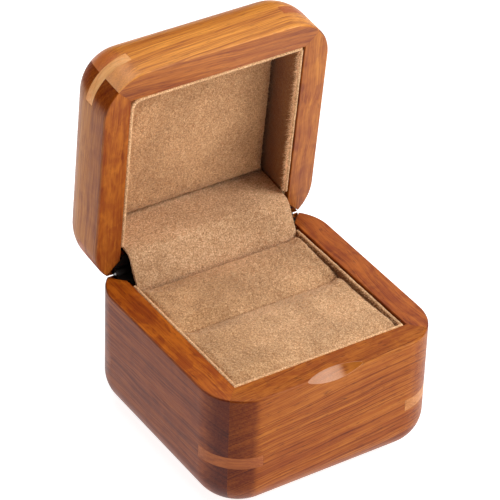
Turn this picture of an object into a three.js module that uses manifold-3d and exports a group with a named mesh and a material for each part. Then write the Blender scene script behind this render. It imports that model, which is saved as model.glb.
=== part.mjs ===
// Ring box: a small hardwood box with a hinged lid, suede-lined, with a pair of ring pads.
// Millimetres, +Z up. Origin at the centre of the underside; the front faces -Y, the hinge is at +Y.
// The lid is drawn shut, in a group that is turned about the hinge axis to its open stop.
import * as THREE from 'three';
import { mergeVertices } from 'three/addons/utils/BufferGeometryUtils.js';
import Module from 'manifold-3d';

const wasm = await Module();
wasm.setup();

// ---- driving dimensions -------------------------------------------------
const WIDTH = 60;            // outside, X
const DEPTH = 60;            // outside, Y
const BASE_H = 32.2;         // underside to the parting plane
const LID_H = 19.0;          // parting plane to the lid's top
const RIM_CLEAR = 0.1;       // each rim stops this far short of the parting plane
const CORNER_R = 11;         // vertical corners
const BASE_ROUND = 8;        // round along the base's lower edge
const LID_ROUND = 11;        // round along the lid's upper edge
const RIM_EASE = 0.5;        // small round on the outer edge of both rims
const WALL = 6.8;            // board thickness
const PANEL = 6.4;           // bottom and top panel thickness
const MITRE_GAP = 0.3;       // glue line at each mitre
const FIT = 0.3;             // gap between seated pieces

const KEY_FIT = 0.25;        // gap round each corner key
const BASE_KEY_Z = 14.4, BASE_KEY_T = 3.0, BASE_KEY_LEG = 10.6;
const LID_KEY_Z = 39.35, LID_KEY_T = 2.6, LID_KEY_LEG = 9.8;

const NOTCH_X = -0.6, NOTCH_HALF = 8.0, NOTCH_DROP = 2.25;   // thumb scoop in the front rim

const AXIS_Y = 26.9, AXIS_Z = BASE_H;   // hinge axis, along X
const OPEN_DEG = 84.5;                  // lid angle at its open stop
const PIN_R = 0.6, BARREL_BORE_R = 0.72, BARREL_R = 1.2, GROOVE_R = 1.6;
const BARREL_HALF = 24.4;               // half length of the hinge barrel
const KNUCKLES_BASE = [[-24.4, -16.2], [-4.0, 4.0], [16.2, 24.4]];
const KNUCKLES_LID = [[-15.9, -4.3], [4.3, 15.9]];
const LEAF_T = 0.55;                    // hinge leaf sheet
const LEAF_Y = 22.3;                    // inner face of each leaf's leg
const LEG_HALF = 21.4;
const BASE_LEG_LOW = 19.0, LID_LEG_HIGH = 40.4;
const REBATE = 0.9;                     // both back walls are this much lower, for the leaf
const SCREW_X = 14.5, SCREW_BASE_Z = 24.0, SCREW_LID_Z = 37.2;
const SCREW_HEAD_R = 1.4, SCREW_R = 0.75, SCREW_LEN = 4.6;

const LINER_T = 0.9;         // suede on card
const LINER_DROP = 0.2;      // liner edges sit this far below the rims
const PAD_BOARD_T = 1.5;
const SKIN = 0.6;            // suede cover of a pad
const CEILING_DZ = 9.3;      // parting plane to the lid pad's face
const FLAP_HALF = 21.6, FLAP_T = 0.9;
const SPRING_HALF = 5.0, SPRING_T = 0.35;

const IN = WIDTH / 2 - WALL;           // half width of the opening (23.2)
const rad = (d) => d * Math.PI / 180;

// ---- solid helpers ------------------------------------------------------
function solid(geo) {
  const g = geo.index ? geo.clone() : geo.clone();
  for (const k of Object.keys(g.attributes)) if (k !== 'position') g.deleteAttribute(k);
  const m = mergeVertices(g, 1e-5);
  return new wasm.Manifold(new wasm.Mesh({
    numProp: 3,
    vertProperties: new Float32Array(m.attributes.position.array),
    triVerts: new Uint32Array(m.index.array),
  }));
}
function geometry(man) {
  const m = man.getMesh();
  const pos = new Float32Array(m.numVert * 3);
  for (let i = 0; i < m.numVert; i++) for (let k = 0; k < 3; k++) pos[3 * i + k] = m.vertProperties[i * m.numProp + k];
  const g = new THREE.BufferGeometry();
  g.setAttribute('position', new THREE.BufferAttribute(pos, 3));
  g.setIndex(new THREE.BufferAttribute(new Uint32Array(m.triVerts), 1));
  g.computeVertexNormals();
  return g;
}
const box = (x0, x1, y0, y1, z0, z1) => {
  const g = new THREE.BoxGeometry(x1 - x0, y1 - y0, z1 - z0);
  g.translate((x0 + x1) / 2, (y0 + y1) / 2, (z0 + z1) / 2);
  return solid(g);
};
// a polygon in XY, extruded from z0 to z1
const prismZ = (pts, z0, z1) => {
  const s = new THREE.Shape(pts.map((p) => new THREE.Vector2(p[0], p[1])));
  const g = new THREE.ExtrudeGeometry(s, { depth: z1 - z0, bevelEnabled: false, steps: 1 });
  g.translate(0, 0, z0);
  return solid(g);
};
// a polygon in YZ, extruded from x0 to x1
const prismX = (pts, x0, x1) => {
  const s = new THREE.Shape(pts.map((p) => new THREE.Vector2(p[0], p[1])));
  const g = new THREE.ExtrudeGeometry(s, { depth: x1 - x0, bevelEnabled: false, steps: 1 });
  g.rotateY(Math.PI / 2);            // (x, y, z) -> (z, y, -x)
  g.rotateX(Math.PI / 2);            // shape x -> +Y, shape y -> +Z
  g.translate(x0, 0, 0);
  return solid(g);
};
const rodX = (x0, x1, y, z, r, n = 16) => {
  const g = new THREE.CylinderGeometry(r, r, x1 - x0, n);
  g.rotateZ(Math.PI / 2);
  g.translate((x0 + x1) / 2, y, z);
  return solid(g);
};
const rodY = (x, y0, y1, z, r, n = 12, r1 = r) => {
  const g = new THREE.CylinderGeometry(r1, r, y1 - y0, n);
  g.translate(x, (y0 + y1) / 2, z);
  return solid(g);
};
// a strip of even thickness that follows a curve in YZ; the points are on its visible side and
// the thickness goes to the left of the direction of travel
const stripX = (pts, t, x0, x1) => {
  const n = pts.length, back = [];
  for (let i = 0; i < n; i++) {
    const a = pts[Math.max(0, i - 1)], b = pts[Math.min(n - 1, i + 1)];
    const dy = b[0] - a[0], dz = b[1] - a[1], l = Math.hypot(dy, dz);
    back.push([pts[i][0] - dz / l * t * -1, pts[i][1] + dy / l * t * -1]);
  }
  return prismX(pts.concat(back.reverse()), x0, x1);
};
const smoothPath = (pts, n) => {
  const c = new THREE.CatmullRomCurve3(pts.map((p) => new THREE.Vector3(0, p[0], p[1])), false, 'centripetal');
  return c.getSpacedPoints(n).map((p) => [p.y, p.z]);
};

// ---- the turned outer form ----------------------------------------------
const CORNER_SEG = 8;
function ring(w, d, r, z) {
  const out = [];
  for (const [sx, sy, a0] of [[1, 1, 0], [-1, 1, 90], [-1, -1, 180], [1, -1, 270]]) {
    for (let k = 0; k <= CORNER_SEG; k++) {
      const a = rad(a0 + 90 * k / CORNER_SEG);
      out.push([sx * (w / 2 - r) + r * Math.cos(a), sy * (d / 2 - r) + r * Math.sin(a), z]);
    }
  }
  return out;
}
// zRound is the rounded end's height, zRim the eased rim's height
function outerForm(zRound, zRim, R, seg) {
  const s = Math.sign(zRim - zRound), rings = [];
  for (let k = 0; k <= seg; k++) {
    const a = Math.PI / 2 * k / seg, i = R * (1 - Math.sin(a));
    rings.push(ring(WIDTH - 2 * i, DEPTH - 2 * i, Math.max(CORNER_R - i, 0.2), zRound + s * R * (1 - Math.cos(a))));
  }
  for (let k = 0; k <= 3; k++) {
    const a = Math.PI / 2 * k / 3, i = RIM_EASE * (1 - Math.cos(a));
    rings.push(ring(WIDTH - 2 * i, DEPTH - 2 * i, CORNER_R - i, zRim - s * RIM_EASE * (1 - Math.sin(a))));
  }
  if (s < 0) rings.reverse();
  const n = rings[0].length, pos = [], idx = [];
  rings.forEach((r) => r.forEach((p) => pos.push(...p)));
  for (let i = 0; i < rings.length - 1; i++) for (let k = 0; k < n; k++) {
    const a = i * n + k, b = i * n + (k + 1) % n, c = a + n, d = b + n;
    idx.push(a, b, d, a, d, c);
  }
  const z0 = rings[0][0][2], z1 = rings[rings.length - 1][0][2];
  const lo = pos.length / 3; pos.push(0, 0, z0);
  const hi = lo + 1; pos.push(0, 0, z1);
  const t = (rings.length - 1) * n;
  for (let k = 0; k < n; k++) { idx.push(lo, (k + 1) % n, k); idx.push(hi, t + k, t + (k + 1) % n); }
  const g = new THREE.BufferGeometry();
  g.setAttribute('position', new THREE.BufferAttribute(new Float32Array(pos), 3));
  g.setIndex(idx);
  return solid(g);
}
const baseForm = outerForm(0, BASE_H - RIM_CLEAR, BASE_ROUND, 7);
const lidForm = outerForm(BASE_H + LID_H, BASE_H + RIM_CLEAR, LID_ROUND, 8);

// wedges between the mitre planes
const g2 = MITRE_GAP / 2 * Math.SQRT2, BIG = 80;
const wedge = {
  front: prismZ([[0, -g2], [-BIG, -BIG - g2], [BIG, -BIG - g2]], -5, 60),
  back: prismZ([[0, g2], [BIG, BIG + g2], [-BIG, BIG + g2]], -5, 60),
  left: prismZ([[-g2, 0], [-BIG - g2, BIG], [-BIG - g2, -BIG]], -5, 60),
  right: prismZ([[g2, 0], [BIG + g2, -BIG], [BIG + g2, BIG]], -5, 60),
};
const bore = box(-IN, IN, -IN, IN, -5, 60);
const frameBase = baseForm.subtract(bore);
const frameLid = lidForm.subtract(bore);

// corner keys: flat triangles let in across each mitre
const corners = { front_left: [-1, -1], front_right: [1, -1], back_left: [-1, 1], back_right: [1, 1] };
function keyPrism([sx, sy], leg, z, t, grow) {
  const m = WIDTH / 2, c = leg + grow * Math.SQRT2, far = 4;
  let pts = [[sx * (m + far), sy * (m + far)], [sx * (m - c - far), sy * (m + far)], [sx * (m + far), sy * (m - c - far)]];
  if (sx * sy < 0) pts = pts.reverse();
  return prismZ(pts, z - t / 2 - grow, z + t / 2 + grow);
}
const slots = (form, leg, z, t) => Object.values(corners).reduce((f, c) => f.subtract(keyPrism(c, leg, z, t, KEY_FIT)), form);
const walledBase = slots(frameBase, BASE_KEY_LEG, BASE_KEY_Z, BASE_KEY_T);
const walledLid = slots(frameLid, LID_KEY_LEG, LID_KEY_Z, LID_KEY_T);

// thumb scoop: part of a sphere taken off the front rim edge
const na = (NOTCH_HALF * NOTCH_HALF - NOTCH_DROP * NOTCH_DROP) / (2 * NOTCH_DROP);
const nr = Math.sqrt(NOTCH_HALF * NOTCH_HALF + 2 * na * na);
const ballGeo = new THREE.SphereGeometry(nr, 96, 64);
ballGeo.translate(NOTCH_X, -DEPTH / 2 - na, BASE_H + na);
const scoop = solid(ballGeo);

// back bevels, so that the lid can lean back until they meet
const half = rad(OPEN_DEG / 2), off = 0.15 / Math.cos(half);
const bevelBase = prismX([[AXIS_Y, 60], [AXIS_Y, AXIS_Z - off], [AXIS_Y + 20, AXIS_Z - off - 20 * Math.tan(half)], [AXIS_Y + 20, 60]], -40, 40);
const bevelLid = prismX([[AXIS_Y, 5], [AXIS_Y + 20, 5], [AXIS_Y + 20, AXIS_Z + off + 20 * Math.tan(half)], [AXIS_Y, AXIS_Z + off]], -40, 40);
const groove = rodX(-BARREL_HALF - 0.5, BARREL_HALF + 0.5, AXIS_Y, AXIS_Z, GROOVE_R, 20);
const rebateBase = box(-40, 40, 15, AXIS_Y + 0.05, BASE_H - REBATE - RIM_CLEAR, BASE_H + 5);
const rebateLid = box(-40, 40, 15, AXIS_Y + 0.05, BASE_H - 5, BASE_H + REBATE + RIM_CLEAR);
const screwHole = (x, z) => rodY(x, IN - 2, LEAF_Y + LEAF_T + SCREW_LEN + 0.4, z, SCREW_R + 0.3, 12);

const backBase = walledBase.intersect(wedge.back).subtract(rebateBase).subtract(bevelBase).subtract(groove)
  .subtract(screwHole(-SCREW_X, SCREW_BASE_Z)).subtract(screwHole(SCREW_X, SCREW_BASE_Z));
const backLid = walledLid.intersect(wedge.back).subtract(rebateLid).subtract(bevelLid).subtract(groove)
  .subtract(screwHole(-SCREW_X, SCREW_LID_Z)).subtract(screwHole(SCREW_X, SCREW_LID_Z));

// side walls run past the axis at the corners, so they take the bevel and the groove too
const sideBase = (s) => walledBase.intersect(wedge[s]).subtract(bevelBase).subtract(groove);
const sideLid = (s) => walledLid.intersect(wedge[s]).subtract(bevelLid).subtract(groove);

// ---- hinge --------------------------------------------------------------
function leaf(up) {
  // up = -1: base leaf, +1: lid leaf (mirrored about the parting plane)
  const zIn = AXIS_Z + up * 0.15, zOut = AXIS_Z + up * (0.15 + LEAF_T);
  const lo = Math.min(zIn, zOut), hi = Math.max(zIn, zOut);
  let s = prismZ([[-22.6, LEAF_Y], [22.6, LEAF_Y], [22.6, 23.0], [25.0, 25.4], [-25.0, 25.4], [-22.6, 23.0]], lo, hi);
  const legEnd = up < 0 ? BASE_LEG_LOW : LID_LEG_HIGH;
  s = s.add(box(-LEG_HALF, LEG_HALF, LEAF_Y, LEAF_Y + LEAF_T, Math.min(legEnd, hi), Math.max(legEnd, lo)));
  for (const [a, b] of (up < 0 ? KNUCKLES_BASE : KNUCKLES_LID)) {
    s = s.add(rodX(a, b, AXIS_Y, AXIS_Z, BARREL_R, 20)).add(box(a, b, 25.2, AXIS_Y - 0.2, lo, hi));
  }
  s = s.subtract(rodX(-30, 30, AXIS_Y, AXIS_Z, BARREL_BORE_R, 20));
  // window for the snap spring, at the bend
  s = s.subtract(box(-SPRING_HALF - 0.6, SPRING_HALF + 0.6, 20, 24.6, AXIS_Z - (up < 0 ? 4.4 : -0.05), AXIS_Z + (up < 0 ? -0.05 : 4.4)));
  const sz = up < 0 ? SCREW_BASE_Z : SCREW_LID_Z;
  for (const x of [-SCREW_X, SCREW_X]) s = s.subtract(rodY(x, 20, 25, sz, SCREW_HEAD_R + 0.3, 16));
  return s;
}
// countersunk wood screw, driven along +Y through the leaf into the back wall
function screw(x, z) {
  const y0 = LEAF_Y, y1 = LEAF_Y + LEAF_T;
  let s = rodY(x, y0, y1, z, SCREW_HEAD_R, 16, SCREW_HEAD_R * 0.8)
    .add(rodY(x, y1 - 0.2, y1 + SCREW_LEN - 1.4, z, SCREW_R, 12))
    .add(rodY(x, y1 + SCREW_LEN - 1.5, y1 + SCREW_LEN, z, SCREW_R, 12, 0.15));
  return s.subtract(box(x - 3, x + 3, y0 - 1, y0 + 0.25, z - 0.18, z + 0.18));
}

// ---- soft and inner pieces ----------------------------------------------
const LX = IN - FIT;                                   // outer face of the liners (22.9)
const linerTopB = BASE_H - LINER_DROP - RIM_CLEAR, linerTopL = BASE_H + LINER_DROP + RIM_CLEAR;
const panelTop = PANEL, panelUnder = BASE_H + LID_H - PANEL;
const SIDE_BACK_B = 20.1, SIDE_BACK_L = 19.4;          // where the side liners stop, short of the hinge cover
const boardTop = panelTop + FIT + PAD_BOARD_T;

// ring pads: both slope gently down to the slit between them
const PAD_X = LX - LINER_T - FIT;                      // 21.7
const PAD_Y0 = -PAD_X, SLIT = 2.35, PAD_Y1 = 20.1;
const frontTop = [[PAD_Y0, 30.9], [-20.9, 31.5], [-19.0, 31.8], [-14, 31.6], [-9, 31.3], [-4, 31.0], [-0.4, 30.6], [1.2, 30.1], [SLIT - 0.2, 29.2]];
const rearTop = [[SLIT + 0.2, 29.2], [3.5, 30.0], [5.0, 30.4], [8, 30.7], [11, 30.9], [14, 31.1], [18, 31.2], [19.5, 31.0], [PAD_Y1, 30.4]];
const PAD_LOW = boardTop + FIT;
const inset = (pts, t) => {
  // the same run of points, brought in by t along each local normal and at both ends
  const out = pts.map((p, i) => {
    const a = pts[Math.max(0, i - 1)], b = pts[Math.min(pts.length - 1, i + 1)];
    const dy = b[0] - a[0], dz = b[1] - a[1], l = Math.hypot(dy, dz);
    return [p[0] + dz / l * t, p[1] - dy / l * t];
  });
  const y0 = pts[0][0] + t, y1 = pts[pts.length - 1][0] - t;
  return out.map((p) => [Math.min(Math.max(p[0], y0), y1), p[1]]);
};
function padBody(top, x, low) {
  const a = top[0][0], b = top[top.length - 1][0];
  const dedup = top.filter((p, i) => i === 0 || Math.abs(p[0] - top[i - 1][0]) > 1e-3);
  return prismX([[a, low], ...dedup.filter((p) => true), [b, low]].reverse(), -x, x);
}
const padCover = (top) => padBody(top, PAD_X, PAD_LOW).subtract(padBody(inset(top, SKIN), PAD_X - SKIN, PAD_LOW - 1));
const padFoam = (top) => padBody(inset(top, SKIN + FIT), PAD_X - SKIN - FIT, PAD_LOW);

// lid pad
const ceilZ = BASE_H + CEILING_DZ;
const CP_X = PAD_X, CP_Y0 = -PAD_X, CP_Y1 = 19.3;
const boardUnder = panelUnder - FIT - 0.9;
const ceilCover = box(-CP_X, CP_X, CP_Y0, CP_Y1, ceilZ, boardUnder - FIT)
  .subtract(box(-CP_X + SKIN, CP_X - SKIN, CP_Y0 + SKIN, CP_Y1 - SKIN, ceilZ + SKIN, 60));
const ceilFoam = box(-CP_X + SKIN + FIT, CP_X - SKIN - FIT, CP_Y0 + SKIN + FIT, CP_Y1 - SKIN - FIT, ceilZ + SKIN + FIT, boardUnder - FIT);

// hinge cover: a strip of suede on thin card, glued in the lid, bent over the hinge and free to
// slide behind the rear pad; drawn as it lies with the lid open, in the box's own frame
const flapLine = smoothPath([[20.5, 16.8], [20.5, 24], [20.5, 29.6], [20.75, 31.4], [21.95, 33.7], [23.1, 35.8],
  [24.2, 37.7], [25.2, 38.55], [26.8, 38.95], [29.0, 39.3], [33.0, 39.85], [38.1, 40.35]], 34);
const flap = stripX(flapLine, FLAP_T, -FLAP_HALF, FLAP_HALF);

// snap spring: a bowed strip that bears on both hinge leaves and bows through their windows, drawn
// as it lies with the lid open; its two halves mirror each other about the open angle's bisector
const springHalf = [[22.0, 20.5], [22.0, 26.0], [22.12, 29.0], [22.65, 31.3], [23.4, 33.2]];
const acrossBisector = ([y, z]) => {
  const a = y - AXIS_Y, b = AXIS_Z - z, c = Math.cos(rad(OPEN_DEG)), s = -Math.sin(rad(OPEN_DEG));
  return [AXIS_Y + a * c - b * s, AXIS_Z + a * s + b * c];
};
const springLine = smoothPath([...springHalf, ...springHalf.map(acrossBisector).reverse()], 28);
const spring = stripX(springLine, -SPRING_T, -SPRING_HALF, SPRING_HALF);

// ---- materials ----------------------------------------------------------
const MAT = {
  wood: () => new THREE.MeshStandardMaterial({ color: 0xa85c30, roughness: 0.45, metalness: 0 }),
  key: () => new THREE.MeshStandardMaterial({ color: 0xd99a55, roughness: 0.45, metalness: 0 }),
  suede: () => new THREE.MeshStandardMaterial({ color: 0xc49a6c, roughness: 0.95, metalness: 0 }),
  card: () => new THREE.MeshStandardMaterial({ color: 0xb8ab96, roughness: 0.9, metalness: 0 }),
  foam: () => new THREE.MeshStandardMaterial({ color: 0xe9e4d6, roughness: 1.0, metalness: 0 }),
  black_steel: () => new THREE.MeshStandardMaterial({ color: 0x1d1c1b, roughness: 0.5, metalness: 0.8 }),
  spring_steel: () => new THREE.MeshStandardMaterial({ color: 0x6e6f70, roughness: 0.35, metalness: 1.0 }),
};

// ---- assembly -----------------------------------------------------------
const root = new THREE.Group();
const baseGroup = new THREE.Group();
// turning the lid group by -OPEN_DEG about the hinge axis opens the lid
const lidGroup = new THREE.Group();
lidGroup.position.set(0, AXIS_Y, AXIS_Z);
lidGroup.rotation.x = -rad(OPEN_DEG);
root.add(baseGroup, lidGroup);

const put = (group, name, man, mat) => {
  const mesh = new THREE.Mesh(geometry(man), MAT[mat]());
  mesh.name = name;
  if (group === lidGroup) mesh.position.set(0, -AXIS_Y, -AXIS_Z);
  group.add(mesh);
};
const B = (n, m, mat) => put(baseGroup, n, m, mat);
const L = (n, m, mat) => put(lidGroup, n, m, mat);

// base carcass
B('base_front_wall', walledBase.intersect(wedge.front).subtract(scoop), 'wood');
B('base_back_wall', backBase, 'wood');
B('base_left_wall', sideBase('left'), 'wood');
B('base_right_wall', sideBase('right'), 'wood');
B('base_bottom_panel', baseForm.intersect(box(-LX, LX, -LX, LX, -1, panelTop)), 'wood');
for (const [n, c] of Object.entries(corners)) {
  B('base_key_' + n, baseForm.intersect(keyPrism(c, BASE_KEY_LEG, BASE_KEY_Z, BASE_KEY_T, 0)), 'key');
}
// base lining and ring pads
B('base_liner_front', box(-LX, LX, -LX, -LX + LINER_T, panelTop + FIT, linerTopB), 'suede');
B('base_liner_left', box(-LX, -LX + LINER_T, -LX + LINER_T + FIT, SIDE_BACK_B, panelTop + FIT, linerTopB), 'suede');
B('base_liner_right', box(LX - LINER_T, LX, -LX + LINER_T + FIT, SIDE_BACK_B, panelTop + FIT, linerTopB), 'suede');
B('pad_board', box(-PAD_X, PAD_X, -PAD_X, PAD_Y1, panelTop + FIT, boardTop), 'card');
B('ring_pad_front_cover', padCover(frontTop), 'suede');
B('ring_pad_front_foam', padFoam(frontTop), 'foam');
B('ring_pad_rear_cover', padCover(rearTop), 'suede');
B('ring_pad_rear_foam', padFoam(rearTop), 'foam');
// hinge, base side
B('hinge_leaf_base', leaf(-1), 'black_steel');
B('hinge_pin', rodX(-BARREL_HALF, BARREL_HALF, AXIS_Y, AXIS_Z, PIN_R, 16), 'spring_steel');
B('hinge_screw_base_left', screw(-SCREW_X, SCREW_BASE_Z), 'black_steel');
B('hinge_screw_base_right', screw(SCREW_X, SCREW_BASE_Z), 'black_steel');
B('snap_spring', spring, 'spring_steel');
B('hinge_cover', flap, 'suede');

// lid carcass
L('lid_front_wall', walledLid.intersect(wedge.front), 'wood');
L('lid_back_wall', backLid, 'wood');
L('lid_left_wall', sideLid('left'), 'wood');
L('lid_right_wall', sideLid('right'), 'wood');
L('lid_top_panel', lidForm.intersect(box(-LX, LX, -LX, LX, panelUnder, 60)), 'wood');
for (const [n, c] of Object.entries(corners)) {
  L('lid_key_' + n, lidForm.intersect(keyPrism(c, LID_KEY_LEG, LID_KEY_Z, LID_KEY_T, 0)), 'key');
}
// lid lining
L('lid_liner_front', box(-LX, LX, -LX, -LX + LINER_T, linerTopL, panelUnder - FIT), 'suede');
L('lid_liner_left', box(-LX, -LX + LINER_T, -LX + LINER_T + FIT, SIDE_BACK_L, linerTopL, panelUnder - FIT), 'suede');
L('lid_liner_right', box(LX - LINER_T, LX, -LX + LINER_T + FIT, SIDE_BACK_L, linerTopL, panelUnder - FIT), 'suede');
L('lid_pad_board', box(-CP_X, CP_X, CP_Y0, CP_Y1, boardUnder, panelUnder - FIT), 'card');
L('lid_pad_cover', ceilCover, 'suede');
L('lid_pad_wadding', ceilFoam, 'foam');
// hinge, lid side
L('hinge_leaf_lid', leaf(1), 'black_steel');
L('hinge_screw_lid_left', screw(-SCREW_X, SCREW_LID_Z), 'black_steel');
L('hinge_screw_lid_right', screw(SCREW_X, SCREW_LID_Z), 'black_steel');

export default root;
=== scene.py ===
import bpy
import bmesh
import math
import numpy as np
from mathutils import Matrix, Vector


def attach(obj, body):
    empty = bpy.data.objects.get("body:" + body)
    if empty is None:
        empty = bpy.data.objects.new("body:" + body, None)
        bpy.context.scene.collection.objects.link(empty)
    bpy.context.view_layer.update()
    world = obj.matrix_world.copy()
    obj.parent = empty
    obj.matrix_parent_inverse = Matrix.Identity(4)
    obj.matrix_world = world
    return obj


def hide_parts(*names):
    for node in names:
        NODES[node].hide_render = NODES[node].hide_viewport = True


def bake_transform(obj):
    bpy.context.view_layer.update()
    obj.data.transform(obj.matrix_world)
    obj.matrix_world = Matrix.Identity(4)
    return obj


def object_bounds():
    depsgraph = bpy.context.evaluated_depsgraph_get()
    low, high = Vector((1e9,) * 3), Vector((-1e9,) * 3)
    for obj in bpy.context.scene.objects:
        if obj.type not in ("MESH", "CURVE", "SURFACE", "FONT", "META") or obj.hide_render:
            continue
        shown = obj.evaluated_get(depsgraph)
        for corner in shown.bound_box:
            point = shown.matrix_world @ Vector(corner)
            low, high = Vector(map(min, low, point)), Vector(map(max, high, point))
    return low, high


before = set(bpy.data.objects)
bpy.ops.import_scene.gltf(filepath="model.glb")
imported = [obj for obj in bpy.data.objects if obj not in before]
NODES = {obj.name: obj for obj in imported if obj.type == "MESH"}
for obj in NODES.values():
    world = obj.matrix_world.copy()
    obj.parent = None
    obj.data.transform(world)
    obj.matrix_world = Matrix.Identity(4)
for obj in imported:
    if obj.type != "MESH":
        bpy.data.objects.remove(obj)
cad_lo, cad_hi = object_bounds()
MM = 0.001

# ---------------------------------------------------------------- sizes, in mm, as in the CAD
HALF = 30.0
HB, HL = 32.2, 19.0
RIM = 0.1
CORNER_R, BASE_ROUND, LID_ROUND = 11.0, 8.0, 11.0
IN = 23.2
PANEL = 6.4
AY, AZ = 26.9, 32.2
OPEN = math.radians(84.5)
LINER_T = 0.9
LX = 22.9

# ---------------------------------------------------------------- helpers
_rng = np.random.RandomState(11)
_T = _rng.rand(64, 64, 64)


def vnoise(p):
    """Smooth noise from 0 to 1 at points p, one lattice cell a unit."""
    i = np.floor(p).astype(int)
    f = p - i
    f = f * f * (3 - 2 * f)
    i0, i1 = i & 63, (i + 1) & 63
    out = 0
    for a in (0, 1):
        for b in (0, 1):
            for c in (0, 1):
                w = (f[:, 0] if a else 1 - f[:, 0]) * (f[:, 1] if b else 1 - f[:, 1]) * (f[:, 2] if c else 1 - f[:, 2])
                out = out + w * _T[(i1 if a else i0)[:, 0], (i1 if b else i0)[:, 1], (i1 if c else i0)[:, 2]]
    return out


def make(name, verts, faces, smooth=35.0):
    """A new object from points in mm."""
    me = bpy.data.meshes.new(name)
    me.from_pydata([tuple(v) for v in (np.asarray(verts, float) * MM)], [], [tuple(int(i) for i in f) for f in faces])
    me.validate()
    me.update()
    o = bpy.data.objects.new(name, me)
    bpy.context.scene.collection.objects.link(o)
    if smooth is not None:
        shade(o, smooth)
    return o


def shade(o, angle=35.0):
    me = o.data
    me.polygons.foreach_set("use_smooth", np.ones(len(me.polygons), bool))
    me.set_sharp_from_angle(angle=math.radians(angle))
    me.update()


def coords(o):
    co = np.zeros(len(o.data.vertices) * 3)
    o.data.vertices.foreach_get("co", co)
    return co.reshape(-1, 3) / MM


def set_coords(o, p):
    o.data.vertices.foreach_set("co", (p * MM).astype(np.float32).ravel())
    o.data.update()


def normals(o):
    n = np.zeros(len(o.data.vertices) * 3)
    o.data.vertices.foreach_get("normal", n)
    return n.reshape(-1, 3)


def baked(o):
    """o's mesh with its modifiers applied."""
    dg = bpy.context.evaluated_depsgraph_get()
    dg.update()
    me = bpy.data.meshes.new_from_object(o.evaluated_get(dg))
    old = o.data
    o.modifiers.clear()
    o.data = me
    bpy.data.meshes.remove(old)
    return o


def boolean(o, tool, op, drop=True):
    m = o.modifiers.new("cut", "BOOLEAN")
    m.operation, m.object, m.solver = op, tool, "EXACT"
    baked(o)
    if drop:
        remove(tool)
    return o


def remove(o):
    me = o.data
    bpy.data.objects.remove(o)
    if me.users == 0:
        bpy.data.meshes.remove(me)


def copy(o, name):
    c = bpy.data.objects.new(name, o.data.copy())
    bpy.context.scene.collection.objects.link(c)
    return c


def prism(pts, lo, hi, axis):
    """A polygon extruded from lo to hi along axis. pts are (x, y) for axis z and (y, z) for axis x."""
    n = len(pts)
    area = sum(pts[i][0] * pts[(i + 1) % n][1] - pts[(i + 1) % n][0] * pts[i][1] for i in range(n))
    if area < 0:
        pts = pts[::-1]
    if axis == "z":
        v = [(a, b, lo) for a, b in pts] + [(a, b, hi) for a, b in pts]
    else:
        v = [(lo, a, b) for a, b in pts] + [(hi, a, b) for a, b in pts]
    f = [tuple(range(n))[::-1], tuple(range(n, 2 * n))] + [(i, (i + 1) % n, n + (i + 1) % n, n + i) for i in range(n)]
    return make("tool", v, f, None)


def box(x0, x1, y0, y1, z0, z1):
    return prism([(x0, y0), (x1, y0), (x1, y1), (x0, y1)], z0, z1, "z")


def rod_x(x0, x1, y, z, r, n=48):
    return prism([(y + r * math.cos(2 * math.pi * k / n), z + r * math.sin(2 * math.pi * k / n)) for k in range(n)], x0, x1, "x")


# the closed lid's frame, set on its open stop
LID_SET = (Matrix.Translation((0, AY * MM, AZ * MM)) @ Matrix.Rotation(-OPEN, 4, "X") @ Matrix.Translation((0, -AY * MM, -AZ * MM)))


def turned(a):
    """A direction of the closed lid's frame, on the open lid."""
    return LID_SET.to_3x3() @ Vector(a)


def rides(o, body, slot, *nodes, mat=None):
    if body == "lid":
        o.data.transform(LID_SET)
        p = coords(o)
        p[:, 1] = np.minimum(p[:, 1], cad_hi.y / MM - 0.002)
        p[:, 2] = np.minimum(p[:, 2], cad_hi.z / MM - 0.002)
        set_coords(o, p)
    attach(o, body)
    if nodes:
        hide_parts(*nodes)
    if mat is not None:
        o.data.materials.clear()
        o.data.materials.append(mat)
    return o


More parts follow.
